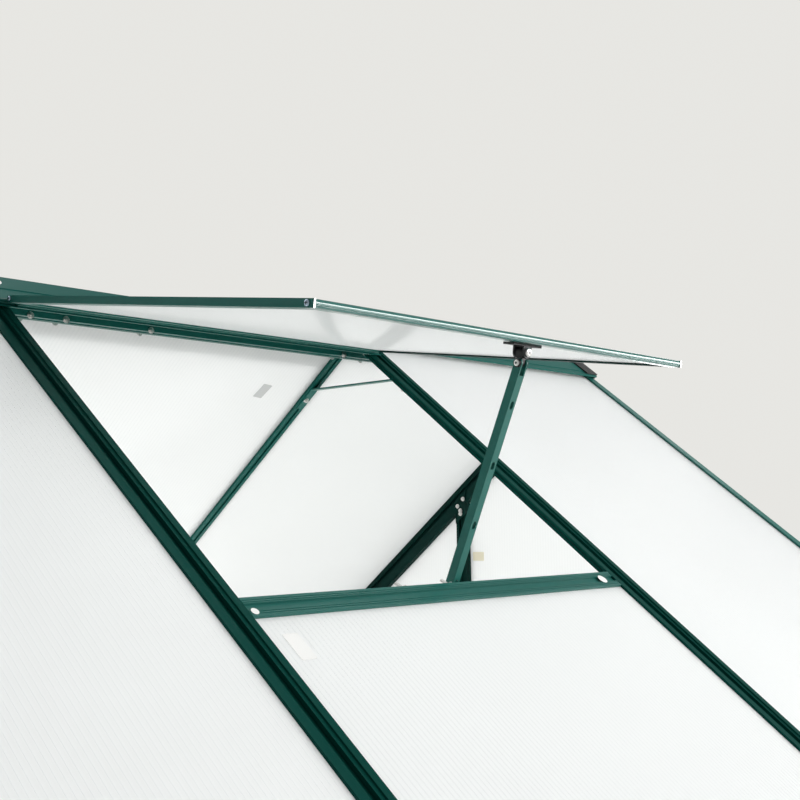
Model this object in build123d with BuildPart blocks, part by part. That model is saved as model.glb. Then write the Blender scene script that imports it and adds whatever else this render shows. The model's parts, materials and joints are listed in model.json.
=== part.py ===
from build123d import *
import os
from math import asin, atan2, cos, hypot, radians, sin, tan

os.makedirs("parts", exist_ok=True)

# A three-bay greenhouse roof with a vent propped open in the middle bay of its front slope.
# X runs along the ridge, the front slope faces -Y, and Z = 0 is the underside of the eave rails.

# Roof as a whole
half_span = 950.0          # ridge line to the outer face of an eave rail
roof_pitch = 38.0          # degrees
eave_height = 48.0         # height of the roof plane at the outer face of an eave rail
bay_pitch = 610.0          # between the two rafters of the vent bay
end_bay = 582.0            # vent rafter to the outer face of the gable
overrun = 20.0             # extra length of what is cut back
fit_gap = 0.3              # between each face of a panel or tongue and its groove
slide_gap = 0.5            # between a panel edge and the bottom of its groove

# Panels
panel_thick = 4.0

# Inner rafters, as widths across the bar and depths below the roof plane
flange_half = 17.0
flange_thick = 3.0
step_half = 9.0
step_depth = 1.6
channel_half = 4.2
channel_depth = 6.6
groove_half = 6.0
body_half = 9.0
rafter_depth = 12.0
rafter_mouth_half = 2.6
rafter_slot_half = 4.6
rafter_web = 1.8           # between the channel and the bolt slot
rafter_lip_share = 0.4     # of the depth of the bolt slot

# Bolt slots of the larger bars
slot_mouth_half = 3.5
slot_half = 7.0
slot_lip = 2.5
slot_depth = 7.5

# Gable rafters, as distances inward from the outer face of the gable
gable_lip = 17.0
gable_groove_end = 8.0
gable_body = 20.0
gable_depth = 42.0
gable_slot_start = 3.5
gable_slot_depth = 10.0
gable_bolt_slot_top = 16.0

# Eave rails
eave_width = 35.0
eave_wall = 3.0
eave_groove_back = 5.0

# Gable plates and studs
plate_width = 25.0
plate_height = 40.0
plate_groove = 9.0
stud_width = 25.0
stud_offset = 264.0
stud_groove = 7.0
corner_trim = 2.0          # tip cut off each corner panel, short of the corner

# Gusset plates on the inner faces of studs and gable rafters
gusset_half = 12.5
gusset_thick = 2.0
gusset_drop = 16.0         # below the rafter
gusset_rise = 20.0         # up the rafter from its lower edge

# Ridge beam
core_half = 12.0
core_depth = 42.0
core_wall = 2.5
crown_half = 14.0
crown_rim = 4.0
crown_height = -1.5          # of the rims, from the apex
crown_recess = 5.0
cavity_top = 8.0
cavity_bottom = 30.0
core_ribs = (23.0, 26.5, 30.0, 34.5)
core_rib_width = 1.4
core_rib_depth = 0.9
wing_top = 7.4
wing_thick = 2.6
wing_step = 40.0           # distances down the slope to the step and the bead of a wing
wing_bead = 49.0
wing_edge = 54.0           # edge of a wing beside the vent bay
wing_sink = 0.8
pivot_slope = 70.5         # distance down the slope from the apex to the hinge axis
pivot_lift = 4.9           # height of the hinge axis above the roof plane
socket_bore = 2.8
socket_wall = 1.7
socket_open_low = -26.0    # degrees about the hinge axis, from the down-slope direction
socket_open_high = 56.0

# Ridge end caps
cap_length = 27.0
cap_end = 5.0
cap_wall = 2.0
cap_reach = 50.0
cap_drop = 3.0
cap_bevel = 1.2

# Vent
vent_open = 29.8           # degrees from shut to the pose on the stay
vent_flange_lap = 8.0     # overlap of the vent on each rafter flange, seen from above
vent_mid = 4.1             # mid-plane of the vent above the hinge axis
vent_thick = 8.0
vent_lap = 2.5             # overlap of the shut vent on the sill
rail_width = 16.0
rail_web = 2.0
bead_radius = 2.5
neck_thick = 2.0
hinge_rail_start = 6.0
nose_radius = 3.4
nose_lip = 1.0             # height of the top lip of the front rail
nose_setback = 0.8
nose_groove = 0.8
nose_groove_drop = 1.6     # below the middle of the front rail
lip_clear = 8.0            # between the vent and the ends of the hinge socket

# Vent sill
sill_slope = 567.5         # distance down the slope to the upper edge of the sill
sill_width = 25.0
sill_rib = 8.0
sill_recess = 2.5
sill_groove = 0.9
sill_groove_depth = 0.8
sill_groove_starts = (3.4, 6.0, 18.3, 20.9)   # from the upper edge
sill_ledge = 2.5
sill_web_start = 8.0
sill_web = 9.0
sill_depth = 24.0
sill_end_gap = 0.5
tongue_gap = 0.5

# Stay, its bracket and pegs
stay_x = 12.5              # place of the stay along the ridge
bracket_length = 46.0
bracket_depth = 14.0
bracket_plate = 2.5
bracket_setback = 18.5     # front edge of the vent to the middle of the bracket
lug_half = 6.5
lug_thick = 2.0
upper_bolt_drop = 12.5     # below the mid-plane of the vent
lower_bolt_drop = 24.0
bolt_radius = 2.0
bolt_clear = 0.3
bolt_head_radius = 4.0
bolt_head = 2.2
knuckle_gap = 0.5
tongue_half = 3.0
stay_half = 5.0
stay_wall = 1.6
stay_sill_gap = 6.0
stay_web_start = 12.0      # from the lower bolt to the front wall of the stay
stay_tail = 14.0           # stay end beyond its last slot
stay_slot_width = 5.0
stay_slot_length = 9.0
stay_slot_pitch = 66.0
stay_slot_count = 4
peg_radius = 2.0
peg_length = 14.0
peg_collar_radius = 4.0
peg_collar = 2.5
peg_depth = 5.0            # below the roof plane
peg_offset = 14.0          # from the middle of the stay to the first peg
peg_pitch = 70.0

# Collar ties
tie_width = 12.0
tie_thick = 1.5
tie_slope = 115.5          # where the tie bends away from the rafters
tie_tab = 44.0

# Worked out from the sizes above
pitch_cos = cos(radians(roof_pitch))
pitch_sin = sin(radians(roof_pitch))
pitch_tan = tan(radians(roof_pitch))
apex_z = eave_height + half_span * pitch_tan
rafter_slot_depth = rafter_depth - channel_depth - rafter_web
rafter_slot_lip = rafter_lip_share * rafter_slot_depth
rafter_x = bay_pitch / 2
vent_half = rafter_x - flange_half + vent_flange_lap
gable_x = rafter_x + end_bay
eave_inner = half_span - eave_width
groove_width = panel_thick + 2 * fit_gap
groove_floor = flange_thick + groove_width
slope_length = half_span / pitch_cos
front = -1
back = 1


def slope_point(side, down, out):
    """Place across the roof (Y, Z) of a point down a slope and out from the roof plane."""
    return (side * (down * pitch_cos + out * pitch_sin), apex_z - down * pitch_sin + out * pitch_cos)


def plumb_point(side, across, out):
    """Place across the roof (Y, Z) of a point on the line that lies out from the roof plane."""
    return (side * across, apex_z - across * pitch_tan + out / pitch_cos)


def slope_plane(side):
    """Plane across a slope at the apex: widths along X, heights out of the roof, length down the slope."""
    return Plane(origin=(0, 0, apex_z), x_dir=(-side, 0, 0), z_dir=(0, side * pitch_cos, -pitch_sin))


def cross_plane(x):
    """Plane across the roof at x, holding (Y, Z), with its normal along the ridge."""
    return Plane(origin=(x, 0, 0), x_dir=(0, 1, 0), z_dir=(1, 0, 0))


def side_plane(side, across):
    """Upright plane along the ridge, with its normal away from the ridge."""
    return Plane(origin=(0, side * across, 0), z_dir=(0, side, 0))


def save(piece, node):
    """Name a finished piece and write it."""
    piece.part.label = node
    export_step(piece.part, f"parts/{node}.step")


# Ridge beam: hollow core with a bolt slot below, crown rims, and wings that end in hinge sockets
wing_low = wing_top - wing_thick
wing_end = pivot_slope - socket_bore
slot_top = core_depth - slot_depth
lip_half = vent_half + lip_clear


def ridge_half(side):
    """Outline of one half of the ridge beam, from the crown to the bolt slot."""
    return [
        (0, apex_z - crown_recess),
        (side * (crown_half - crown_rim), apex_z - crown_recess),
        (side * (crown_half - crown_rim), apex_z + crown_height),
        (side * crown_half, apex_z + crown_height),
        plumb_point(side, crown_half, wing_top),
        slope_point(side, wing_step, wing_top),
        slope_point(side, wing_step, wing_top - wing_sink),
        slope_point(side, wing_bead, wing_top - wing_sink),
        slope_point(side, wing_bead, wing_top),
        slope_point(side, wing_end, wing_top),
        slope_point(side, wing_end, wing_low),
        plumb_point(side, core_half, wing_low),
        (side * core_half, apex_z - core_depth),
        (side * slot_mouth_half, apex_z - core_depth),
        (side * slot_mouth_half, apex_z - core_depth + slot_lip),
        (side * slot_half, apex_z - core_depth + slot_lip),
        (side * slot_half, apex_z - slot_top),
        (0, apex_z - slot_top),
    ]


def socket_mouth(side):
    """Wedge that opens a hinge socket to the down-slope side."""
    pivot = slope_point(side, pivot_slope, pivot_lift)
    reach = 2 * (socket_bore + socket_wall)
    corners = [pivot]
    for turn in (socket_open_low, socket_open_high):
        down = pivot_slope + reach * cos(radians(turn))
        corners.append(slope_point(side, down, pivot_lift + reach * sin(radians(turn))))
    return corners


with BuildPart() as ridge:
    with BuildSketch(cross_plane(-gable_x)):
        for side in (front, back):
            with BuildLine():
                Polyline(*ridge_half(side), close=True)
            make_face()
            with Locations(slope_point(side, pivot_slope, pivot_lift)):
                Circle(socket_bore + socket_wall)
        for side in (front, back):
            with Locations(slope_point(side, pivot_slope, pivot_lift)):
                Circle(socket_bore, mode=Mode.SUBTRACT)
            with BuildLine():
                Polyline(*socket_mouth(side), close=True)
            make_face(mode=Mode.SUBTRACT)
        with Locations((0, apex_z - (cavity_top + cavity_bottom) / 2)):
            Rectangle(2 * (core_half - core_wall), cavity_bottom - cavity_top, mode=Mode.SUBTRACT)
        for drop in core_ribs:
            for side in (front, back):
                with Locations((side * core_half, apex_z - drop)):
                    Rectangle(2 * core_rib_depth, core_rib_width, mode=Mode.SUBTRACT)
    extrude(amount=2 * gable_x)
    for end in (-1, 1):
        with BuildSketch(cross_plane(end * lip_half)):
            for side in (front, back):
                with BuildLine():
                    Polyline(
                        slope_point(side, wing_edge, wing_top + overrun),
                        slope_point(side, wing_edge, wing_low - overrun),
                        slope_point(side, pivot_slope + overrun, wing_low - overrun),
                        slope_point(side, pivot_slope + overrun, wing_top + overrun),
                        close=True,
                    )
                make_face()
        extrude(amount=end * (gable_x - lip_half), mode=Mode.SUBTRACT)
save(ridge, "ridge_beam")

# Ridge end caps: a saddle over the crown and wings, with a closing end plate
cap_inner = wing_top + fit_gap
crown_clear = crown_half + fit_gap


def cap_line(rise):
    """Line over the crown and wings from front to back, raised by the given wall."""
    top = apex_z + crown_height + fit_gap + rise
    return [
        slope_point(front, cap_reach, cap_inner + rise),
        plumb_point(front, crown_clear + rise, cap_inner + rise),
        (-crown_clear - rise, top),
        (crown_clear + rise, top),
        plumb_point(back, crown_clear + rise, cap_inner + rise),
        slope_point(back, cap_reach, cap_inner + rise),
    ]


saddle_low = cap_line(0)[::-1]
plate_low = [
    slope_point(back, cap_reach, 0),
    plumb_point(back, core_half + cap_drop, 0),
    (core_half + cap_drop, apex_z - core_depth - cap_drop),
    (-core_half - cap_drop, apex_z - core_depth - cap_drop),
    plumb_point(front, core_half + cap_drop, 0),
    slope_point(front, cap_reach, 0),
]
for end, node in ((-1, "left_ridge_cap"), (1, "right_ridge_cap")):
    with BuildPart() as ridge_cap:
        with BuildSketch(cross_plane(end * gable_x)):
            with BuildLine():
                Polyline(*cap_line(cap_wall), *saddle_low, close=True)
            make_face()
        extrude(amount=-end * cap_length)
        with BuildSketch(cross_plane(end * gable_x)):
            with BuildLine():
                Polyline(*cap_line(cap_wall), *plate_low, close=True)
            make_face()
        extrude(amount=end * cap_end)
        chamfer(ridge_cap.edges().group_by(Axis.X, reverse=end > 0)[0], cap_bevel)
    save(ridge_cap, node)

# Inner rafters: two raised flats beside a stepped channel, panel grooves and a bolt slot inside
rafter_half_outline = [
    (0, -channel_depth),
    (channel_half, -channel_depth),
    (channel_half, -step_depth),
    (step_half, -step_depth),
    (step_half, 0),
    (flange_half, 0),
    (flange_half, -flange_thick),
    (groove_half, -flange_thick),
    (groove_half, -groove_floor),
    (body_half, -groove_floor),
    (body_half, -rafter_depth),
    (rafter_mouth_half, -rafter_depth),
    (rafter_mouth_half, -rafter_depth + rafter_slot_lip),
    (rafter_slot_half, -rafter_depth + rafter_slot_lip),
    (rafter_slot_half, -rafter_depth + rafter_slot_depth),
    (0, -rafter_depth + rafter_slot_depth),
]


def trim_to_frame(side):
    """Cut a bar that runs down a slope to fit between the ridge core and the eave rail."""
    split(bisect_by=side_plane(side, core_half), keep=Keep.TOP)
    split(bisect_by=side_plane(side, eave_inner), keep=Keep.BOTTOM)


for side, slope in ((front, "front"), (back, "back")):
    for end, hand in ((-1, "left"), (1, "right")):
        centre = -side * end * rafter_x
        with BuildPart() as rafter:
            with BuildSketch(slope_plane(side)):
                for flip in (-1, 1):
                    with BuildLine():
                        Polyline(*[(centre + flip * u, v) for u, v in rafter_half_outline], close=True)
                    make_face()
            extrude(amount=slope_length)
            trim_to_frame(side)
        save(rafter, f"{slope}_{hand}_rafter")

# Gable rafters: a lip over the panel edge, a bolt slot inside and a slot below for the gable panels
gable_outline = [
    (0, 0),
    (gable_lip, 0),
    (gable_lip, -flange_thick),
    (gable_groove_end, -flange_thick),
    (gable_groove_end, -groove_floor),
    (gable_body, -groove_floor),
    (gable_body, -gable_bolt_slot_top),
    (gable_body - slot_lip, -gable_bolt_slot_top),
    (gable_body - slot_lip, -gable_bolt_slot_top + slot_mouth_half),
    (gable_body - slot_depth, -gable_bolt_slot_top + slot_mouth_half),
    (gable_body - slot_depth, -gable_bolt_slot_top - 3 * slot_mouth_half),
    (gable_body - slot_lip, -gable_bolt_slot_top - 3 * slot_mouth_half),
    (gable_body - slot_lip, -gable_bolt_slot_top - 2 * slot_mouth_half),
    (gable_body, -gable_bolt_slot_top - 2 * slot_mouth_half),
    (gable_body, -gable_depth),
    (gable_slot_start + groove_width, -gable_depth),
    (gable_slot_start + groove_width, -gable_depth + gable_slot_depth),
    (gable_slot_start, -gable_depth + gable_slot_depth),
    (gable_slot_start, -gable_depth),
    (0, -gable_depth),
]
for side, slope in ((front, "front"), (back, "back")):
    for end, hand in ((-1, "left"), (1, "right")):
        facing = -side * end
        with BuildPart() as gable_rafter:
            with BuildSketch(slope_plane(side)):
                with BuildLine():
                    Polyline(*[(facing * (gable_x - u), v) for u, v in gable_outline], close=True)
                make_face()
            extrude(amount=slope_length)
            trim_to_frame(side)
        save(gable_rafter, f"{slope}_{hand}_gable_rafter")

# Eave rails: hollow bars with a flat foot, a fascia, and a sloped flange over the panel ends
eave_groove_end = half_span - eave_groove_back
for side, slope in ((front, "front"), (back, "back")):
    with BuildPart() as eave:
        with BuildSketch(cross_plane(-gable_x)):
            with BuildLine():
                Polyline(
                    (side * eave_inner, 0),
                    (side * half_span, 0),
                    plumb_point(side, half_span, 0),
                    plumb_point(side, eave_inner, 0),
                    plumb_point(side, eave_inner, -flange_thick),
                    plumb_point(side, eave_groove_end, -flange_thick),
                    plumb_point(side, eave_groove_end, -groove_floor),
                    plumb_point(side, eave_inner, -groove_floor),
                    close=True,
                )
            make_face()
            with BuildLine():
                Polyline(
                    (side * (eave_inner + eave_wall), eave_wall),
                    (side * (half_span - eave_wall), eave_wall),
                    plumb_point(side, half_span - eave_wall, -groove_floor - eave_wall),
                    plumb_point(side, eave_inner + eave_wall, -groove_floor - eave_wall),
                    close=True,
                )
            make_face(mode=Mode.SUBTRACT)
        extrude(amount=2 * gable_x)
    save(eave, f"{slope}_eave_rail")

# Roof panels: sheets in the grooves of the rafters, from the ridge or the sill down to the eave rail
panel_top = flange_thick + fit_gap
panel_middle = panel_top + panel_thick / 2
panel_head = (core_half + slide_gap + (panel_top + panel_thick) * pitch_sin) / pitch_cos
panel_foot = (eave_groove_end - slide_gap + panel_top * pitch_sin) / pitch_cos
inner_edge = groove_half + slide_gap
middle_width = bay_pitch - 2 * inner_edge
end_width = end_bay - inner_edge - gable_groove_end - slide_gap
end_middle = rafter_x + inner_edge + end_width / 2
sill_groove_end = sill_slope + sill_web_start + sill_web
lower_head = sill_groove_end + slide_gap
panel_table = [
    ("front_left_panel", front, -end_middle, end_width, panel_head),
    ("front_lower_panel", front, 0, middle_width, lower_head),
    ("front_right_panel", front, end_middle, end_width, panel_head),
    ("back_left_panel", back, -end_middle, end_width, panel_head),
    ("back_middle_panel", back, 0, middle_width, panel_head),
    ("back_right_panel", back, end_middle, end_width, panel_head),
]
for node, side, middle, width, head in panel_table:
    with BuildPart() as roof_panel:
        with BuildSketch(slope_plane(side).offset(head)):
            with Locations((-side * middle, -panel_middle)):
                Rectangle(width, panel_thick)
        extrude(amount=panel_foot - head)
    save(roof_panel, node)

# Gable plates: bars between the eave rails, cut to the slope at their ends and grooved for the panels
plate_reach = (apex_z - plate_height - gable_depth / pitch_cos) / pitch_tan
plate_outline = [
    (-eave_inner, 0),
    (eave_inner, 0),
    plumb_point(back, eave_inner, -gable_depth),
    (plate_reach, plate_height),
    (-plate_reach, plate_height),
    plumb_point(front, eave_inner, -gable_depth),
]
for end, hand in ((-1, "left"), (1, "right")):
    with BuildPart() as gable_plate:
        with BuildSketch(cross_plane(end * gable_x)):
            with BuildLine():
                Polyline(*plate_outline, close=True)
            make_face()
        extrude(amount=-end * plate_width)
        with BuildSketch(cross_plane(end * (gable_x - gable_slot_start))):
            with Locations((0, plate_height - plate_groove / 2)):
                Rectangle(2 * half_span, plate_groove)
        extrude(amount=-end * groove_width, mode=Mode.SUBTRACT)
    save(gable_plate, f"{hand}_gable_plate")

# Gable studs: upright bars from the plate to the rafter, grooved on both sides for the panels
stud_inner = stud_offset - stud_width / 2
stud_outer = stud_offset + stud_width / 2
for end, hand in ((-1, "left"), (1, "right")):
    for side, slope in ((front, "front"), (back, "back")):
        with BuildPart() as gable_stud:
            with BuildSketch(cross_plane(end * gable_x)):
                with BuildLine():
                    Polyline(
                        (side * stud_inner, plate_height),
                        (side * stud_outer, plate_height),
                        plumb_point(side, stud_outer, -gable_depth),
                        plumb_point(side, stud_inner, -gable_depth),
                        close=True,
                    )
                make_face()
            extrude(amount=-end * gable_body)
            with BuildSketch(cross_plane(end * (gable_x - gable_slot_start))):
                for edge in (stud_inner + stud_groove / 2, stud_outer - stud_groove / 2):
                    with Locations((side * edge, apex_z / 2)):
                        Rectangle(stud_groove, apex_z)
            extrude(amount=-end * groove_width, mode=Mode.SUBTRACT)
            for depth, half in ((slot_lip, slot_mouth_half), (slot_depth, slot_half)):
                with BuildSketch(cross_plane(end * (gable_x - gable_body))):
                    with Locations((side * stud_offset, apex_z / 2)):
                        Rectangle(2 * half, apex_z)
                extrude(amount=end * depth, mode=Mode.SUBTRACT)
        save(gable_stud, f"{slope}_{hand}_gable_stud")

# Gusset plates: two flat plates at each gable, across the joints of studs and rafters
for end, hand in ((-1, "left"), (1, "right")):
    with BuildPart() as gussets:
        for side in (front, back):
            upper = gusset_rise - gable_depth
            with BuildSketch(cross_plane(end * (gable_x - gable_body))):
                with BuildLine():
                    Polyline(
                        plumb_point(side, stud_offset - gusset_half, upper),
                        plumb_point(side, stud_offset + gusset_half, upper),
                        plumb_point(side, stud_offset + gusset_half, -gable_depth),
                        plumb_point(side, stud_outer, -gable_depth - gusset_drop),
                        plumb_point(side, stud_inner, -gable_depth - gusset_drop),
                        plumb_point(side, stud_offset - gusset_half, -gable_depth),
                        close=True,
                    )
                make_face()
            extrude(amount=-end * gusset_thick)
    save(gussets, f"{hand}_gable_gussets")

# Gable panels: one tall panel between the studs and a corner panel on each side
gable_panel_top = -gable_depth + gable_slot_depth - slide_gap
gable_panel_foot = plate_height - plate_groove + slide_gap
middle_reach = stud_inner + stud_groove - slide_gap
corner_start = stud_outer - stud_groove + slide_gap
corner_end = plate_reach - corner_trim
gable_head = apex_z - core_depth - slide_gap
head_reach = (apex_z + gable_panel_top / pitch_cos - gable_head) / pitch_tan
gable_panel_table = {
    "middle": [
        (-middle_reach, gable_panel_foot),
        (middle_reach, gable_panel_foot),
        plumb_point(back, middle_reach, gable_panel_top),
        (head_reach, gable_head),
        (-head_reach, gable_head),
        plumb_point(front, middle_reach, gable_panel_top),
    ],
    "front": [
        (-corner_start, gable_panel_foot),
        (-corner_end, gable_panel_foot),
        plumb_point(front, corner_end, gable_panel_top),
        plumb_point(front, corner_start, gable_panel_top),
    ],
    "back": [
        (corner_start, gable_panel_foot),
        (corner_end, gable_panel_foot),
        plumb_point(back, corner_end, gable_panel_top),
        plumb_point(back, corner_start, gable_panel_top),
    ],
}
for end, hand in ((-1, "left"), (1, "right")):
    for place, outline in gable_panel_table.items():
        with BuildPart() as gable_panel:
            with BuildSketch(cross_plane(end * (gable_x - gable_slot_start - fit_gap))):
                with BuildLine():
                    Polyline(*outline, close=True)
                make_face()
            extrude(amount=-end * panel_thick)
        save(gable_panel, f"{hand}_gable_{place}_panel")

# Collar ties: flat strips across each pair of inner rafters, bent along their inner faces at the ends
tie_outline = [
    slope_point(front, tie_slope + tie_tab, -rafter_depth),
    slope_point(front, tie_slope, -rafter_depth),
    slope_point(back, tie_slope, -rafter_depth),
    slope_point(back, tie_slope + tie_tab, -rafter_depth),
    slope_point(back, tie_slope + tie_tab, -rafter_depth - tie_thick),
    slope_point(back, tie_slope + tie_thick, -rafter_depth - tie_thick),
    slope_point(front, tie_slope + tie_thick, -rafter_depth - tie_thick),
    slope_point(front, tie_slope + tie_tab, -rafter_depth - tie_thick),
]
for end, hand in ((-1, "left"), (1, "right")):
    with BuildPart() as collar_tie:
        with BuildSketch(cross_plane(end * rafter_x)):
            with BuildLine():
                Polyline(*tie_outline, close=True)
            make_face()
        extrude(amount=tie_width / 2, both=True)
    save(collar_tie, f"{hand}_collar_tie")

# Vent sill: a ribbed cover strip between the rafter flanges, with tongues in their grooves
sill_end = sill_slope + sill_width
sill_half = rafter_x - flange_half - sill_end_gap
tongue_reach = rafter_x - groove_half - tongue_gap
sill_outline = [
    (sill_slope, 0),
    (sill_slope + sill_rib, 0),
    (sill_slope + sill_rib, -sill_recess),
    (sill_end - sill_rib, -sill_recess),
    (sill_end - sill_rib, 0),
    (sill_end, 0),
    (sill_end, -flange_thick),
    (sill_groove_end, -flange_thick),
    (sill_groove_end, -groove_floor),
    (sill_end, -groove_floor),
    (sill_end, -groove_floor - sill_ledge),
    (sill_groove_end, -groove_floor - sill_ledge),
    (sill_groove_end, -sill_depth),
    (sill_slope + sill_web_start, -sill_depth),
    (sill_slope + sill_web_start, -groove_floor - sill_ledge),
    (sill_slope, -groove_floor - sill_ledge),
]
tongue_outline = [
    (sill_slope, -flange_thick - fit_gap),
    (sill_groove_end, -flange_thick - fit_gap),
    (sill_groove_end, -groove_floor + fit_gap),
    (sill_slope, -groove_floor + fit_gap),
]
with BuildPart() as sill:
    for outline, reach in ((sill_outline, sill_half), (tongue_outline, tongue_reach)):
        with BuildSketch(cross_plane(0)):
            with BuildLine():
                Polyline(*[slope_point(front, down, out) for down, out in outline], close=True)
            make_face()
        extrude(amount=reach, both=True)
    with BuildSketch(cross_plane(0)):
        for start in sill_groove_starts:
            near = sill_slope + start
            with BuildLine():
                Polyline(
                    slope_point(front, near, overrun),
                    slope_point(front, near + sill_groove, overrun),
                    slope_point(front, near + sill_groove, -sill_groove_depth),
                    slope_point(front, near, -sill_groove_depth),
                    close=True,
                )
            make_face()
    extrude(amount=sill_half, both=True, mode=Mode.SUBTRACT)
save(sill, "vent_sill")

# Vent in its open pose: lengths run from the hinge axis down the vent, heights out of the vent
vent_length = sill_slope + vent_lap - pivot_slope
pivot_y, pivot_z = slope_point(front, pivot_slope, pivot_lift)
vent_fall = radians(roof_pitch - vent_open)
vent_down = Vector(0, -cos(vent_fall), -sin(vent_fall))
vent_side = Plane(origin=(0, pivot_y, pivot_z), x_dir=vent_down, z_dir=(-1, 0, 0))
vent_across = Plane(origin=(0, pivot_y, pivot_z), x_dir=(1, 0, 0), z_dir=vent_down)
rail_half = vent_thick / 2
rail_inner = panel_thick / 2 + fit_gap
rail_reach = vent_half - rail_width
front_reach = vent_half - rail_web

# Hinge rail: a channel that takes the head of the vent panel, with the bead of the ridge hinge
with BuildPart() as hinge_rail:
    with BuildSketch(vent_side):
        with Locations((hinge_rail_start + rail_width / 2, vent_mid)):
            Rectangle(rail_width, vent_thick)
        with Locations((hinge_rail_start + rail_web + rail_width / 2, vent_mid)):
            Rectangle(rail_width, 2 * rail_inner, mode=Mode.SUBTRACT)
        with Locations(((hinge_rail_start + rail_web) / 2, 0)):
            Rectangle(hinge_rail_start + rail_web, neck_thick)
        Circle(bead_radius)
    extrude(amount=rail_reach, both=True)
save(hinge_rail, "vent_hinge_rail")

# Side rails: channels open towards the panel, whose webs run on over the ends of the front rail
for end, hand in ((-1, "left"), (1, "right")):
    with BuildPart() as side_rail:
        with BuildSketch(vent_across.offset(hinge_rail_start)):
            with Locations((end * (vent_half - rail_width / 2), vent_mid)):
                Rectangle(rail_width, vent_thick)
            with Locations((end * (vent_half - rail_web - rail_width / 2), vent_mid)):
                Rectangle(rail_width, 2 * rail_inner, mode=Mode.SUBTRACT)
        extrude(amount=vent_length - rail_width - hinge_rail_start)
        with BuildSketch(vent_across.offset(hinge_rail_start)):
            with Locations((end * (vent_half - rail_web / 2), vent_mid)):
                Rectangle(rail_web, vent_thick)
        extrude(amount=vent_length - hinge_rail_start)
    save(side_rail, f"vent_{hand}_rail")

# Front rail: a channel with a rounded nose
with BuildPart() as front_rail:
    with BuildSketch(vent_side):
        with Locations((vent_length - rail_width / 2, vent_mid)):
            nose = Rectangle(rail_width, vent_thick)
        fillet(nose.vertices().group_by(Axis.X)[-1], nose_radius)
        with Locations((vent_length - rail_web - nose_radius / 2 - rail_width / 2, vent_mid)):
            Rectangle(rail_width, 2 * rail_inner, mode=Mode.SUBTRACT)
        with Locations((vent_length, vent_mid - nose_groove_drop)):
            Rectangle(2 * nose_groove, nose_groove, mode=Mode.SUBTRACT)
    extrude(amount=front_reach, both=True)
    with BuildSketch(vent_side):
        with Locations((vent_length - nose_radius - nose_setback, vent_mid + rail_half - nose_lip / 2)):
            Rectangle(2 * nose_setback, nose_lip)
    extrude(amount=front_reach, both=True)
save(front_rail, "vent_front_rail")

# Vent panel
vent_panel_head = hinge_rail_start + rail_web + slide_gap
vent_panel_foot = vent_length - rail_web - nose_radius / 2 - slide_gap
with BuildPart() as vent_panel:
    with BuildSketch(vent_across.offset(vent_panel_head)):
        with Locations((0, vent_mid)):
            Rectangle(2 * (vent_half - rail_web - slide_gap), panel_thick)
    extrude(amount=vent_panel_foot - vent_panel_head)
save(vent_panel, "vent_panel")

# Stay bracket: a plate under the front rail with two lugs and the upper bolt between them
bracket_along = vent_length - bracket_setback
upper_lift = vent_mid - upper_bolt_drop
lower_lift = vent_mid - lower_bolt_drop
plate_lift = vent_mid - rail_half - bracket_plate
lug_start = bracket_along - bracket_depth / 2
stay_across = vent_side.offset(-stay_x)
with BuildPart() as bracket:
    with BuildSketch(stay_across):
        with Locations((bracket_along, plate_lift + bracket_plate / 2)):
            Rectangle(bracket_depth, bracket_plate)
    extrude(amount=bracket_length / 2, both=True)
    for start in (lug_start, lug_start + bracket_depth - lug_thick):
        with BuildSketch(vent_across.offset(start)):
            with Locations((stay_x, (plate_lift + upper_lift) / 2)):
                Rectangle(2 * lug_half, plate_lift - upper_lift)
            with Locations((stay_x, upper_lift)):
                Circle(lug_half)
        extrude(amount=lug_thick)
    with BuildSketch(vent_across.offset(lug_start)):
        with Locations((stay_x, upper_lift)):
            Circle(bolt_radius)
    extrude(amount=bracket_depth)
    with BuildSketch(vent_across.offset(lug_start + bracket_depth)):
        with Locations((stay_x, upper_lift)):
            Circle(bolt_head_radius)
    extrude(amount=bolt_head)
save(bracket, "stay_bracket")

# Stay knuckle: it swings on the upper bolt and carries the lower bolt of the stay
knuckle_half = bracket_depth / 2 - lug_thick - knuckle_gap
shoulder_lift = lower_lift + stay_half + knuckle_gap
knuckle_radius = upper_bolt_drop - rail_half - bracket_plate - 2 * knuckle_gap
with BuildPart() as knuckle:
    with BuildSketch(vent_across.offset(bracket_along - knuckle_half)):
        with Locations((stay_x, upper_lift)):
            Circle(knuckle_radius)
        with Locations((stay_x, (upper_lift + shoulder_lift) / 2)):
            Rectangle(2 * knuckle_radius, upper_lift - shoulder_lift)
        with Locations((stay_x, upper_lift)):
            Circle(bolt_radius + bolt_clear, mode=Mode.SUBTRACT)
    extrude(amount=2 * knuckle_half)
    with BuildSketch(stay_across):
        with Locations((bracket_along, (lower_lift + shoulder_lift) / 2)):
            Rectangle(2 * tongue_half, shoulder_lift - lower_lift)
        with Locations((bracket_along, lower_lift)):
            Circle(tongue_half)
    extrude(amount=tongue_half, both=True)
    with BuildSketch(stay_across):
        with Locations((bracket_along, lower_lift)):
            Circle(bolt_radius)
    extrude(amount=stay_half + knuckle_gap, both=True)
    with BuildSketch(stay_across.offset(stay_half + knuckle_gap)):
        with Locations((bracket_along, lower_lift)):
            Circle(bolt_head_radius)
    extrude(amount=bolt_head)
save(knuckle, "stay_knuckle")

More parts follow.
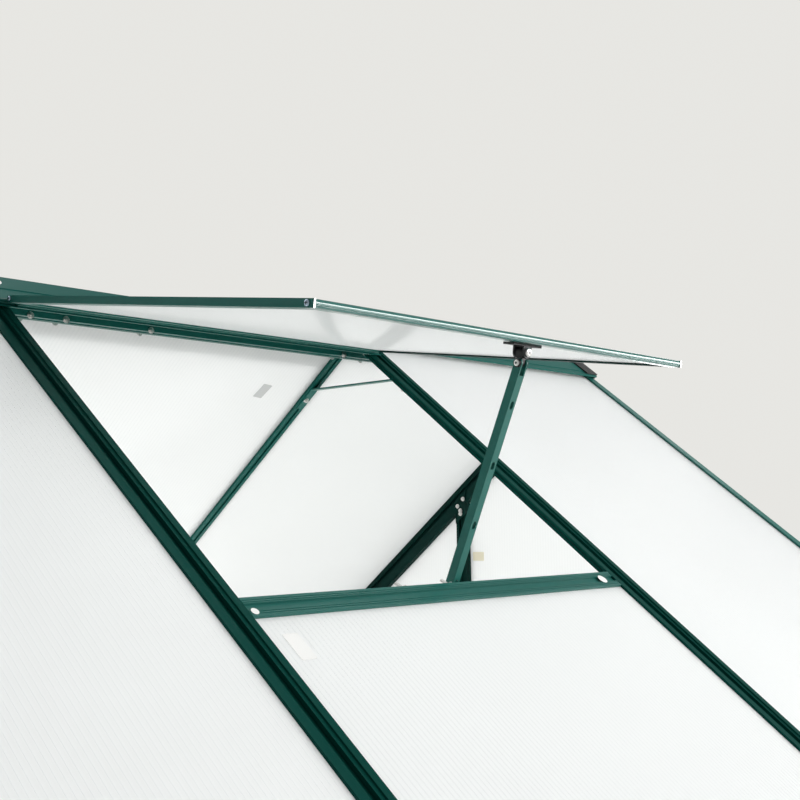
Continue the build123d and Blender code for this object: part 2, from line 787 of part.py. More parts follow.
# Stay arm: a slotted channel from the lower bolt past the upper edge of the sill
bolt_place = stay_across.from_local_coords(Vector(bracket_along, lower_lift, 0))
sill_y, sill_z = slope_point(front, sill_slope, 0)
edge_distance = hypot(sill_y - bolt_place.Y, sill_z - bolt_place.Z)
edge_angle = atan2(sill_y - bolt_place.Y, bolt_place.Z - sill_z)
stay_lean = edge_angle + asin((stay_half + stay_sill_gap) / edge_distance)
stay_down = Vector(0, sin(stay_lean), -cos(stay_lean))
stay_side = Plane(origin=bolt_place, x_dir=stay_down, z_dir=(1, 0, 0))
stay_front = Plane(origin=bolt_place, x_dir=stay_down, z_dir=(0, -cos(stay_lean), -sin(stay_lean)))
peg_y, peg_z = slope_point(front, sill_slope, -peg_depth)
last_slot = stay_side.to_local_coords(Vector(stay_x, peg_y, peg_z)).X
stay_length = last_slot + stay_tail
stay_inner = stay_half - stay_wall
with BuildPart() as stay:
    with BuildSketch(stay_side):
        with Locations((stay_length / 2, 0)):
            Rectangle(stay_length, 2 * stay_half)
        Circle(stay_half)
    extrude(amount=stay_half, both=True)
    with BuildSketch(stay_side):
        with Locations((stay_length / 2, stay_wall)):
            Rectangle(stay_length + 2 * overrun, 2 * stay_half)
    extrude(amount=stay_inner, both=True, mode=Mode.SUBTRACT)
    with BuildSketch(stay_side):
        Circle(bolt_radius + bolt_clear)
    extrude(amount=overrun, both=True, mode=Mode.SUBTRACT)
    with BuildSketch(stay_front):
        for index in range(stay_slot_count):
            with Locations((last_slot - index * stay_slot_pitch, 0)):
                SlotOverall(stay_slot_length, stay_slot_width)
        Rectangle(2 * stay_web_start, 2 * stay_inner)
    extrude(amount=overrun, mode=Mode.SUBTRACT)
save(stay, "stay_arm")

# Stay pegs: two collared pins on the upper edge of the sill, square to the stay
peg_out = Vector(0, cos(stay_lean), sin(stay_lean))
sill_face = Plane(origin=(0, peg_y, peg_z), x_dir=(1, 0, 0), z_dir=(0, pitch_cos, pitch_sin))
with BuildPart() as pegs:
    for place in (stay_x - peg_offset, stay_x - peg_offset - peg_pitch):
        with BuildSketch(Plane(origin=(place, peg_y, peg_z), x_dir=(1, 0, 0), z_dir=peg_out)):
            Circle(peg_radius)
        extrude(amount=peg_length, both=True)
        with BuildSketch(sill_face):
            with Locations((place, 0)):
                Circle(peg_collar_radius)
        extrude(amount=peg_collar)
    split(bisect_by=sill_face, keep=Keep.TOP)
save(pegs, "stay_pegs")
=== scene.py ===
"""Dresses a three-bay greenhouse roof with a propped vent: finishes, sheet ribs, fasteners and labels."""

import json
import logging
import math
from dataclasses import dataclass, field
from enum import Enum
from typing import Iterable, Sequence

import bmesh
import bpy
from mathutils import Matrix, Vector

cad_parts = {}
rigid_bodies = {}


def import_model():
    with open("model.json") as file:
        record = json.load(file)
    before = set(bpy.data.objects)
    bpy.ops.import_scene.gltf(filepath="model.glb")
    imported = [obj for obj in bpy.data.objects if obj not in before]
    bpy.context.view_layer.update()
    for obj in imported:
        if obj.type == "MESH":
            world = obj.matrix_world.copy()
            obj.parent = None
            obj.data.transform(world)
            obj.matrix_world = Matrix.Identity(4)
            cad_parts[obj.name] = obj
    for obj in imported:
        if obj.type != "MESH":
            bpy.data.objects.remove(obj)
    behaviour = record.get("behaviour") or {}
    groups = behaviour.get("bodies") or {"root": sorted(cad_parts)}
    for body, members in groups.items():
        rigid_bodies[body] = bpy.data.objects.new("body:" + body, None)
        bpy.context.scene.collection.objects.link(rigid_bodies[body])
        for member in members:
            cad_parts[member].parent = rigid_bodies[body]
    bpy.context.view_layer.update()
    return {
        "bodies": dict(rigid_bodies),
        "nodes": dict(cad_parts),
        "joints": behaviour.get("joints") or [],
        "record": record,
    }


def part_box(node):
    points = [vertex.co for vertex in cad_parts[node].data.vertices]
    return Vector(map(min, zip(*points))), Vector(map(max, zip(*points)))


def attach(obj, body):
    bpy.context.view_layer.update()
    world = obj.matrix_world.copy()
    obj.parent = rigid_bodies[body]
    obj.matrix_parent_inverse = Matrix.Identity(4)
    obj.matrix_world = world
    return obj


LOG = logging.getLogger("greenhouse_roof")
MM = 0.001
ROOF_BODY = "roof_frame"
VENT_BODY = "vent"
KNUCKLE_BODY = "stay_knuckle"

Material = bpy.types.Material
Colour = tuple[float, float, float]
SHEET_COLOUR: Colour = (0.9, 0.908, 0.908)


class Slope(Enum):
    """The two slopes of the roof, by the side of the ridge they lie on."""

    FRONT = -1
    BACK = 1


class Hand(Enum):
    """The two ends of the roof, by the direction along the ridge."""

    LEFT = -1
    RIGHT = 1


class Fastener(Enum):
    """Kinds of small fastener on the frame."""

    NUT = "nut"
    PAN_SCREW = "pan_screw"
    SOCKET_BOLT = "socket_bolt"


@dataclass(frozen=True)
class RoofGeometry:
    """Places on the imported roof, in metres.

    Attributes:
        apex: Height where the two roof planes meet.
        pitch: Slope of the roof in radians.
        rafter_x: Distance of the vent rafters from the middle.
        gable_x: Distance of the gables' outer faces from the middle.
        pivot: Hinge axis of the vent.
        vent_fall: Fall of the open vent in radians.
    """

    apex: float
    pitch: float
    rafter_x: float
    gable_x: float
    pivot: Vector
    vent_fall: float

    @classmethod
    def from_frame(cls, frame: dict) -> "RoofGeometry":
        """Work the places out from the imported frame.


        Returns:
            The places on the roof.
        """
        low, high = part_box("front_left_rafter")
        run_node = frame["nodes"]["back_middle_panel"]
        corners = [v.co for v in run_node.data.vertices]
        top = max(corners, key=lambda c: c.z)
        foot = max(corners, key=lambda c: c.y)
        pitch = math.atan2(top.z - foot.z, foot.y - top.y)
        rafter_x = -(low[0] + high[0]) / 2
        core_y = -high[1]
        apex = high[2] + core_y * math.tan(pitch)
        joints = {joint["name"]: joint for joint in frame["joints"]}
        swing_axis = Vector(joints["stay_swing"]["axis"])
        return cls(
            apex=apex,
            pitch=pitch,
            rafter_x=rafter_x,
            gable_x=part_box("front_right_gable_rafter")[1][0],
            pivot=Vector(joints["vent_hinge"]["pos_m"]),
            vent_fall=math.atan2(-swing_axis.z, -swing_axis.y),
        )

    def slope_frame(self, slope: Slope, x: float = 0.0, down: float = 0.0, out: float = 0.0) -> Matrix:
        """Frame on a slope: local X along the ridge, Y up the slope and Z out of the roof.

        Args:
            slope: Which slope.
            x: Place along the ridge.
            down: Distance down the slope from the apex.
            out: Height out from the roof plane.

        Returns:
            The matrix from the local frame to the row frame.
        """
        side = slope.value
        up = Vector((0, -side * math.cos(self.pitch), math.sin(self.pitch)))
        normal = Vector((0, side * math.sin(self.pitch), math.cos(self.pitch)))
        origin = Vector((x, 0, self.apex)) - up * down + normal * out
        return frame_matrix(origin, Vector((-side, 0, 0)), up, normal)

    def vent_frame(self, x: float = 0.0, along: float = 0.0, out: float = 0.0) -> Matrix:
        """Frame on the open vent: local X along the ridge, Y up the vent and Z out of it.

        Args:
            x: Place along the ridge.
            along: Distance down the vent from the hinge axis.
            out: Height out from the hinge axis.

        Returns:
            The matrix from the local frame to the row frame.
        """
        up = Vector((0, math.cos(self.vent_fall), math.sin(self.vent_fall)))
        normal = Vector((0, -math.sin(self.vent_fall), math.cos(self.vent_fall)))
        origin = Vector((x, self.pivot.y, self.pivot.z)) - up * along + normal * out
        return frame_matrix(origin, Vector((1, 0, 0)), up, normal)


def frame_matrix(origin: Vector, x_axis: Vector, y_axis: Vector, z_axis: Vector) -> Matrix:
    """Matrix whose columns are three axes and an origin.

    Args:
        origin: Place of the local origin.
        x_axis: Local X in the row frame.
        y_axis: Local Y in the row frame.
        z_axis: Local Z in the row frame.

    Returns:
        The four by four matrix.
    """
    matrix = Matrix((x_axis, y_axis, z_axis)).transposed().to_4x4()
    matrix.translation = origin
    return matrix


class NodeWriter:
    """A short way to add nodes to a tree and fill their inputs."""

    def __init__(self, tree: bpy.types.NodeTree) -> None:
        """Start with an empty tree.

        Args:
            tree: Tree that gets the nodes.
        """
        self.tree = tree
        self.tree.nodes.clear()

    def node(self, kind: str, settings: dict | None = None, **inputs: object) -> bpy.types.Node:
        """Add a node and set or link its inputs.

        Args:
            kind: Blender's name of the node type.
            settings: Properties of the node.
            inputs: Input values or sockets, with spaces in socket names written as underscores.

        Returns:
            The new node.
        """
        made = self.tree.nodes.new(kind)
        for key, value in (settings or {}).items():
            setattr(made, key, value)
        for key, value in inputs.items():
            self.feed(made.inputs[key.replace("_", " ")], value)
        return made

    def feed(self, socket: bpy.types.NodeSocket, value: object) -> None:
        """Link a socket to an input, or set its value.

        Args:
            socket: The input to fill.
            value: A socket to link from, or a plain value.
        """
        if isinstance(value, bpy.types.NodeSocket):
            self.tree.links.new(value, socket)
        else:
            socket.default_value = value

    def math(self, operation: str, *values: object) -> bpy.types.NodeSocket:
        """Add a math node.

        Args:
            operation: Blender's name of the operation.
            values: Numbers or sockets, in order.

        Returns:
            The result's socket.
        """
        made = self.node("ShaderNodeMath", {"operation": operation})
        for socket, value in zip(made.inputs, values):
            self.feed(socket, value)
        return made.outputs[0]

    def mix_shaders(self, factor: object, first: object, second: object) -> bpy.types.NodeSocket:
        """Mix two shaders.

        Args:
            factor: Share of the second shader.
            first: Socket of the first shader.
            second: Socket of the second shader.

        Returns:
            The mixed shader's socket.
        """
        made = self.node("ShaderNodeMixShader", Fac=factor)
        self.feed(made.inputs[1], first)
        self.feed(made.inputs[2], second)
        return made.outputs[0]


class ShaderTree(NodeWriter):
    """A material's node tree."""

    def __init__(self, name: str) -> None:
        """Start an empty material.

        Args:
            name: Name of the material.
        """
        self.material = bpy.data.materials.new(name)
        self.material.use_nodes = True
        super().__init__(self.material.node_tree)
        self.output = self.node("ShaderNodeOutputMaterial")

    def mix(self, factor: object, first: object, second: object) -> bpy.types.NodeSocket:
        """Mix two colours.

        Args:
            factor: Share of the second colour.
            first: First colour or socket.
            second: Second colour or socket.

        Returns:
            The mixed colour's socket.
        """
        made = self.node("ShaderNodeMix", {"data_type": "RGBA"})
        self.feed(made.inputs[0], factor)
        self.feed(made.inputs[6], first)
        self.feed(made.inputs[7], second)
        return made.outputs[2]

    def noise(self, grain: float, detail: float) -> bpy.types.NodeSocket:
        """Noise on Object coordinates.

        Args:
            grain: Size of the grain in metres.
            detail: Octaves of the noise.

        Returns:
            The noise value's socket.
        """
        place = self.node("ShaderNodeTexCoord").outputs["Object"]
        return self.node("ShaderNodeTexNoise", Vector=place, Scale=1 / grain, Detail=detail).outputs[0]

    def bump(self, height: object, strength: float, distance: float) -> bpy.types.NodeSocket:
        """Bump from a height.

        Args:
            height: Socket of the height.
            strength: Strength of the bump.
            distance: Depth in metres.

        Returns:
            The normal's socket.
        """
        return self.node("ShaderNodeBump", Height=height, Strength=strength, Distance=distance).outputs[0]

    def finish(self, shader: bpy.types.NodeSocket) -> Material:
        """Link the surface and hand the material over.

        Args:
            shader: Socket of the finished shader.

        Returns:
            The material.
        """
        self.tree.links.new(shader, self.output.inputs["Surface"])
        return self.material


def rgba(colour: Colour, share: float = 1.0) -> tuple[float, float, float, float]:
    """A colour with full alpha, made darker or lighter by a share."""
    return (*(channel * share for channel in colour), 1.0)


@dataclass(frozen=True)
class PowderCoat:
    """Satin powder coat on aluminium bars, with a fine orange peel and slightly rubbed tone."""

    name: str
    colour: Colour
    rubbed: Colour
    roughness: float = 0.38
    specular: float = 0.5
    peel: float = 0.7 * MM
    peel_depth: float = 0.04 * MM
    peel_strength: float = 0.35
    drift: float = 90 * MM
    rough_spread: float = 0.12

    def build(self) -> Material:
        """Make the material."""
        tree = ShaderTree(self.name)
        cloud = tree.noise(self.drift, 4.0)
        peel = tree.noise(self.peel, 2.0)
        tone = tree.mix(cloud, rgba(self.colour), rgba(self.rubbed))
        rough = tree.math("MULTIPLY_ADD", cloud, self.rough_spread, self.roughness - self.rough_spread / 2)
        shader = tree.node(
            "ShaderNodeBsdfPrincipled",
            Base_Color=tone,
            Roughness=rough,
            Specular_IOR_Level=self.specular,
            Normal=tree.bump(peel, self.peel_strength, self.peel_depth),
        )
        return tree.finish(shader.outputs[0])


@dataclass(frozen=True)
class TwinWallSheet:
    """Milky twin-wall sheet that lets light through, with fine bands from its flutes or broad ripples."""

    name: str
    colour: Colour
    flute_axis: str
    pitch: float = 6 * MM
    band_share: float = 0.05
    through_share: float = 0.55
    roughness: float = 0.3
    specular: float = 0.5
    ripple: float = 240 * MM
    ripple_depth: float = 0.0
    cloud: float = 160 * MM
    cloud_share: float = 0.04
    dim_share: float = 0.55
    flute_strength: float = 0.25
    flute_depth: float = 0.12 * MM

    def build(self) -> Material:
        """Make the material."""
        tree = ShaderTree(self.name)
        place = tree.node("ShaderNodeTexCoord").outputs["Object"]
        split = tree.node("ShaderNodeSeparateXYZ", Vector=place)
        phase = tree.math("MULTIPLY", split.outputs[self.flute_axis], 2 * math.pi / self.pitch)
        wave = tree.math("MULTIPLY_ADD", tree.math("COSINE", phase), 0.5, 0.5)
        cloud = tree.noise(self.cloud, 2.0)
        bands = tree.math("MULTIPLY", wave, self.band_share)
        shade = tree.math("MULTIPLY_ADD", cloud, self.cloud_share, bands)
        tone = tree.mix(shade, rgba(self.colour), rgba(self.colour, self.dim_share))
        if self.ripple_depth:
            normal = tree.bump(tree.noise(self.ripple, 0.0), 1.0, self.ripple_depth)
        else:
            normal = tree.bump(wave, self.flute_strength, self.flute_depth)
        front = tree.node(
            "ShaderNodeBsdfPrincipled",
            Base_Color=tone,
            Roughness=self.roughness,
            Specular_IOR_Level=self.specular,
            Normal=normal,
        )
        through = tree.node("ShaderNodeBsdfTranslucent", Color=tone)
        return tree.finish(tree.mix_shaders(self.through_share, front.outputs[0], through.outputs[0]))


@dataclass(frozen=True)
class MouldedPlastic:
    """Black moulded plastic with a fine grain."""

    name: str
    colour: Colour
    roughness: float = 0.42
    specular: float = 0.25
    grain: float = 0.5 * MM

    def build(self) -> Material:
        """Make the material."""
        tree = ShaderTree(self.name)
        grain = tree.noise(self.grain, 2.0)
        cloud = tree.noise(self.grain * 60, 2.0)
        tone = tree.mix(cloud, rgba(self.colour), rgba(self.colour, 1.8))
        shader = tree.node(
            "ShaderNodeBsdfPrincipled",
            Base_Color=tone,
            Roughness=tree.math("MULTIPLY_ADD", cloud, 0.15, self.roughness - 0.07),
            Specular_IOR_Level=self.specular,
            Normal=tree.bump(grain, 0.3, 0.03 * MM),
        )
        return tree.finish(shader.outputs[0])


@dataclass(frozen=True)
class PlatedSteel:
    """Zinc-plated steel with faint clouding and fine scratches."""

    name: str
    colour: Colour
    roughness: float = 0.28

    def build(self) -> Material:
        """Make the material."""
        tree = ShaderTree(self.name)
        cloud = tree.noise(3 * MM, 3.0)
        scratch = tree.noise(0.25 * MM, 2.0)
        tone = tree.mix(cloud, rgba(self.colour), rgba(self.colour, 0.72))
        shader = tree.node(
            "ShaderNodeBsdfPrincipled",
            Base_Color=tone,
            Metallic=1.0,
            Roughness=tree.math("MULTIPLY_ADD", cloud, 0.2, self.roughness - 0.08),
            Normal=tree.bump(scratch, 0.15, 0.02 * MM),
        )
        return tree.finish(shader.outputs[0])


@dataclass(frozen=True)
class LabelPaper:
    """Plain label paper with faint fibres."""

    name: str
    colour: Colour

    def build(self) -> Material:
        """Make the material."""
        tree = ShaderTree(self.name)
        fibre = tree.noise(1.2 * MM, 4.0)
        tone = tree.mix(fibre, rgba(self.colour), rgba(self.colour, 0.93))
        shader = tree.node(
            "ShaderNodeBsdfPrincipled",
            Base_Color=tone,
            Roughness=0.6,
            Normal=tree.bump(fibre, 0.2, 0.02 * MM),
        )
        return tree.finish(shader.outputs[0])


@dataclass
class Finishes:
    """All finishes of the roof, made once."""

    frame_coat: Material = field(
        default_factory=PowderCoat(
            "green_coat", (0.006, 0.098, 0.08), (0.01, 0.118, 0.097), specular=0.32
        ).build
    )
    # Darker copy of the green coat with less sheen: painted shade on the ridge beam and the back rafters.
    painted_shade_ridge_coat: Material = field(
        default_factory=PowderCoat(
            "painted_shade_ridge_coat", (0.006, 0.085, 0.07), (0.009, 0.1, 0.083), specular=0.12
        ).build
    )
    # Much darker copy of the green coat with almost no sheen: painted shade on the front rafters.
    painted_shade_rafter_coat: Material = field(
        default_factory=PowderCoat(
            "painted_shade_rafter_coat", (0.001, 0.042, 0.033), (0.002, 0.05, 0.04), roughness=0.5, specular=0.04
        ).build
    )
    shaded_coat: Material = field(
        default_factory=PowderCoat(
            "shaded_coat", (0.0015, 0.018, 0.0145), (0.002, 0.024, 0.019), roughness=0.5, specular=0.06
        ).build
    )
    # Slightly lighter copy of the green coat: painted light on the vent's front rail, which also gets a
    # glossier finish.
    painted_light_nose_coat: Material = field(
        default_factory=PowderCoat(
            "painted_light_nose_coat", (0.008, 0.11, 0.092), (0.012, 0.13, 0.108), roughness=0.16, specular=1.0
        ).build
    )
    roof_sheet: Material = field(default_factory=TwinWallSheet("roof_sheet", SHEET_COLOUR, "X").build)
    vent_sheet: Material = field(
        default_factory=TwinWallSheet(
            "vent_sheet", SHEET_COLOUR, "X", roughness=0.07, specular=1.0, ripple_depth=1.2 * MM
        ).build
    )
    gable_sheet: Material = field(default_factory=TwinWallSheet("gable_sheet", SHEET_COLOUR, "Y").build)
    black_plastic: Material = field(
        default_factory=MouldedPlastic("black_plastic", (0.012, 0.013, 0.013)).build
    )
    steel: Material = field(default_factory=PlatedSteel("plated_steel", (0.78, 0.77, 0.75)).build)
    blue_steel: Material = field(default_factory=PlatedSteel("blue_steel", (0.5, 0.62, 0.74)).build)
    bare_metal: Material = field(default_factory=PlatedSteel("bare_metal", (0.92, 0.92, 0.91), 0.5).build)
    # Dark metal: painted shade for the screws' cross recess and the bolts' socket, drawn on the heads in
    # place of holes; also the dark washer under the socket bolts.
    recess: Material = field(default_factory=PlatedSteel("recess_shade_and_dark_washer", (0.08, 0.08, 0.085), 0.5).build)
    rib: Material = field(
        default_factory=TwinWallSheet("sheet_rib", (0.84, 0.86, 0.87), "Z", band_share=0.0).build
    )
    white_label: Material = field(default_factory=LabelPaper("white_label", (0.88, 0.88, 0.86)).build)
    cream_label: Material = field(default_factory=LabelPaper("cream_label", (0.86, 0.8, 0.62)).build)
    # Grey label paper: painted shade of a sticker on the outer face of the back sheet, seen through the
    # sheet.
    sticker_shadow_label: Material = field(default_factory=LabelPaper("sticker_shadow_label", (0.55, 0.56, 0.56)).build)

    def for_node(self, node: str) -> Material:
        """Finish of a CAD node.

        Args:
            node: Name of the node.

        Returns:
            The material of the piece: the green coat, or on some bars a darker copy as painted shade, or on
                the vent's front rail a lighter copy as painted light.
        """
        if node == "vent_panel":
            return self.vent_sheet
        if node.endswith("_panel"):
            return self.gable_sheet if "_gable_" in node else self.roof_sheet
        if node.endswith("ridge_cap") or node in ("stay_bracket", "stay_knuckle"):
            return self.black_plastic
        if node == "stay_pegs":
            return self.steel
        if node.startswith("front") and node.endswith("gable_rafter"):
            return self.frame_coat
        if "_gable_" in node or node == "vent_right_rail":
            return self.shaded_coat
        # The front rafters get the darker copy of the coat as painted shade.
        if node.startswith("front") and node.endswith("rafter"):
            return self.painted_shade_rafter_coat
        # The ridge beam and the back rafters get the darker copy of the coat as painted shade.
        if node == "ridge_beam" or node.endswith("rafter"):
            return self.painted_shade_ridge_coat
        # The vent's front rail gets the lighter copy of the coat as painted light.
        if node == "vent_front_rail":
            return self.painted_light_nose_coat
        return self.frame_coat


def place_object(name: str, mesh: bpy.types.Mesh, body: str) -> None:
    """Link a finished mesh to the scene, riding on a body.

    Args:
        name: Name of the piece.
        mesh: Mesh in the row frame.
        body: CAD body that carries the piece.
    """
    mesh.name = name
    made = bpy.data.objects.new(name, mesh)
    bpy.context.scene.collection.objects.link(made)
    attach(made, body)
    LOG.info("%s: %d faces on %s", name, len(mesh.polygons), body)


class NodesTree(NodeWriter):
    """A Geometry Nodes tree with named inputs."""

    def __init__(self, name: str, sizes: Sequence[str]) -> None:
        """Start a tree with one geometry input, number inputs and one geometry output.

        Args:
            name: Name of the tree.
            sizes: Names of the number inputs.
        """
        super().__init__(bpy.data.node_groups.new(name, "GeometryNodeTree"))
        face = self.tree.interface
        face.new_socket("Geometry", in_out="INPUT", socket_type="NodeSocketGeometry")
        self.identifiers = {
            size: face.new_socket(size, in_out="INPUT", socket_type="NodeSocketFloat").identifier
            for size in sizes
        }
        face.new_socket("Geometry", in_out="OUTPUT", socket_type="NodeSocketGeometry")
        self.source = self.tree.nodes.new("NodeGroupInput")
        self.sink = self.tree.nodes.new("NodeGroupOutput")

    def size(self, name: str) -> bpy.types.NodeSocket:
        """Socket of a named size."""
        return self.source.outputs[name]

    def vector(self, x: object, y: object, z: object) -> bpy.types.NodeSocket:
        """Vector of three numbers or sockets."""
        return self.node("ShaderNodeCombineXYZ", X=x, Y=y, Z=z).outputs[0]

    def moved(self, geometry: bpy.types.NodeSocket, x: object, y: object, z: object) -> bpy.types.NodeSocket:
        """Geometry moved by three numbers or sockets."""
        made = self.node("GeometryNodeTransform", Geometry=geometry, Translation=self.vector(x, y, z))
        return made.outputs[0]

    def cylinder(self, sides: int, radius: object, depth: object, base: object) -> bpy.types.NodeSocket:
        """Upright cylinder that starts at a height.

        Args:
            sides: Number of sides.
            radius: Radius or its socket.
            depth: Height of the cylinder or its socket.
            base: Height of its foot or its socket.

        Returns:
            The mesh's socket.
        """
        made = self.node("GeometryNodeMeshCylinder", Vertices=sides, Radius=radius, Depth=depth)
        middle = self.math("ADD", base, self.math("MULTIPLY", depth, 0.5))
        return self.moved(made.outputs[0], 0.0, 0.0, middle)

    def dome(self, radius: object, height: object, base: object) -> bpy.types.NodeSocket:
        """Smooth flat dome that starts at a height.

        Args:
            radius: Radius or its socket.
            height: Height of the dome or its socket.
            base: Height of its foot or its socket.

        Returns:
            The mesh's socket.
        """
        ball = self.node("GeometryNodeMeshUVSphere", Segments=28, Rings=14, Radius=radius)
        flat = self.node(
            "GeometryNodeTransform",
            Geometry=ball.outputs[0],
            Scale=self.vector(1.0, 1.0, self.math("DIVIDE", height, radius)),
        )
        smooth = self.node("GeometryNodeSetShadeSmooth", Geometry=flat.outputs[0])
        return self.moved(smooth.outputs[0], 0.0, 0.0, base)

    def on_points(self, piece: bpy.types.NodeSocket) -> bpy.types.NodeSocket:
        """Copies of a piece on the source's points, turned to each point's facing."""
        facing = self.node("GeometryNodeInputNamedAttribute", {"data_type": "FLOAT_VECTOR"}, Name="facing")
        turn = self.node("FunctionNodeAlignRotationToVector", {"axis": "Z"}, Vector=facing.outputs[0])
        made = self.node(
            "GeometryNodeInstanceOnPoints",
            Points=self.source.outputs[0],
            Instance=piece,
            Rotation=turn.outputs[0],
        )
        return made.outputs[0]

    def painted(self, geometry: bpy.types.NodeSocket, material: Material) -> bpy.types.NodeSocket:
        """Geometry with a material set."""
        return self.node("GeometryNodeSetMaterial", Geometry=geometry, Material=material).outputs[0]

    def joined(self, *parts: bpy.types.NodeSocket) -> bpy.types.NodeSocket:
        """Several geometries as one."""
        made = self.tree.nodes.new("GeometryNodeJoinGeometry")
        for part in parts:
            self.tree.links.new(part, made.inputs[0])
        return made.outputs[0]

    def finish(self, geometry: bpy.types.NodeSocket) -> None:
        """Realize the instances and link the output."""
        solid = self.node("GeometryNodeRealizeInstances", Geometry=geometry)
        self.tree.links.new(solid.outputs[0], self.sink.inputs[0])

    def evaluate(self, base: bpy.types.Mesh, sizes: dict[str, float]) -> bpy.types.Mesh:
        """Run the tree on a mesh.

        Args:
            base: Mesh that the tree starts from.
            sizes: Values of the named inputs, in metres.

        Returns:
            The result as a plain mesh.
        """
        holder = bpy.data.objects.new("nodes_holder", base)
        bpy.context.scene.collection.objects.link(holder)
        modifier = holder.modifiers.new("nodes", "NODES")
        modifier.node_group = self.tree
        for size, value in sizes.items():
            modifier[self.identifiers[size]] = value
        bpy.context.view_layer.update()
        graph = bpy.context.evaluated_depsgraph_get()
        mesh = bpy.data.meshes.new_from_object(holder.evaluated_get(graph))
        holder.modifiers.remove(modifier)
        bpy.data.objects.remove(holder)
        return mesh


def joined_mesh(name: str, meshes: Iterable[bpy.types.Mesh]) -> bpy.types.Mesh:
    """Join meshes into one, keeping their materials.

    Args:
        name: Name of the new mesh.
        meshes: Meshes in the row frame.

    Returns:
        One mesh with all their faces.
    """
    whole = bpy.data.meshes.new(name)
    shape = bmesh.new()
    for mesh in meshes:
        first_face = len(shape.faces)
        shape.from_mesh(mesh)
        shape.faces.ensure_lookup_table()
        index_map = []
        for material in mesh.materials:
            if material is None:
                index_map.append(0)
                continue
            if material.name not in [m.name for m in whole.materials]:
                whole.materials.append(material)
            index_map.append([m.name for m in whole.materials].index(material.name))
        for face in shape.faces[first_face:]:
            face.material_index = index_map[face.material_index] if index_map else 0
        bpy.data.meshes.remove(mesh)
    shape.to_mesh(whole)
    shape.free()
    return whole


def extents(node: bpy.types.Object, frame: Matrix) -> tuple[Vector, Vector]:
    """Lowest and highest local corner of a node in a frame.

    Args:
        node: CAD node.
        frame: Matrix from the local frame to the row frame.

    Returns:
        The two corners, in the local frame.
    """
    inverse = frame.inverted()
    places = [inverse @ v.co for v in node.data.vertices]
    low = Vector([min(p[i] for p in places) for i in range(3)])
    high = Vector([max(p[i] for p in places) for i in range(3)])
    return low, high


@dataclass
class SheetRibs:
    """The flutes' walls, as fine lines on both faces of each twin-wall sheet on the slopes and on the vent.
    """

    roof: RoofGeometry
    finishes: Finishes
    pitch: float = 6 * MM
    width: float = 0.25 * MM
    height: float = 0.08 * MM

    def __post_init__(self) -> None:
        """Build the tree once: a row of strips across the width of a sheet."""
        tree = NodesTree("rib_row", ("Span", "Run", "Pitch", "Rib Width", "Rib Height"))
        count = tree.math("FLOOR", tree.math("DIVIDE", tree.size("Span"), tree.size("Pitch")))
        half = tree.math("MULTIPLY", tree.math("SUBTRACT", count, 1.0), -0.5)
        start = tree.math("MULTIPLY", half, tree.size("Pitch"))
        line = tree.node(
            "GeometryNodeMeshLine",
            Count=count,
            Start_Location=tree.vector(start, 0.0, 0.0),
            Offset=tree.vector(tree.size("Pitch"), 0.0, 0.0),
        )
        strip_size = tree.vector(tree.size("Rib Width"), tree.size("Run"), tree.size("Rib Height"))
        strip = tree.node("GeometryNodeMeshCube", Size=strip_size)
        row = tree.node("GeometryNodeInstanceOnPoints", Points=line.outputs[0], Instance=strip.outputs[0])
        tree.finish(tree.painted(row.outputs[0], self.finishes.rib))
        self.tree = tree

    def rows(self, node: bpy.types.Object, frame: Matrix) -> list[bpy.types.Mesh]:
        """Rows of ribs on both faces of a sheet.

        Args:
            node: CAD node of the sheet.
            frame: Frame with X across the flutes, Y along them and Z out of the sheet.

        Returns:
            Two meshes in the row frame.
        """
        low, high = extents(node, frame)
        made = []
        for face in (low.z, high.z):
            row = self.tree.evaluate(
                bpy.data.meshes.new("rib_base"),
                {
                    "Span": high.x - low.x,
                    "Run": high.y - low.y,
                    "Pitch": self.pitch,
                    "Rib Width": self.width,
                    "Rib Height": self.height,
                },
            )
            middle = Vector(((low.x + high.x) / 2, (low.y + high.y) / 2, face))
            row.transform(frame @ Matrix.Translation(middle))
            made.append(row)
        return made

    def build(self, nodes: dict[str, bpy.types.Object]) -> None:
        """Make the ribs of all sheets on the slopes and on the vent.

        Args:
            nodes: CAD nodes by name.
        """
        roof_rows: list[bpy.types.Mesh] = []
        for name, node in nodes.items():
            if not name.endswith("_panel") or "_gable_" in name or name == "vent_panel":
                continue
            slope = Slope.FRONT if name.startswith("front") else Slope.BACK
            roof_rows += self.rows(node, self.roof.slope_frame(slope))
        place_object("sheet_ribs", joined_mesh("sheet_ribs", roof_rows), ROOF_BODY)
        vent_rows = self.rows(nodes["vent_panel"], self.roof.vent_frame())
        place_object("vent_sheet_ribs", joined_mesh("vent_sheet_ribs", vent_rows), VENT_BODY)


@dataclass(frozen=True)
class Spot:
    """Place of one fastener: where its seat is and which way its head faces."""

    place: Vector
    facing: Vector


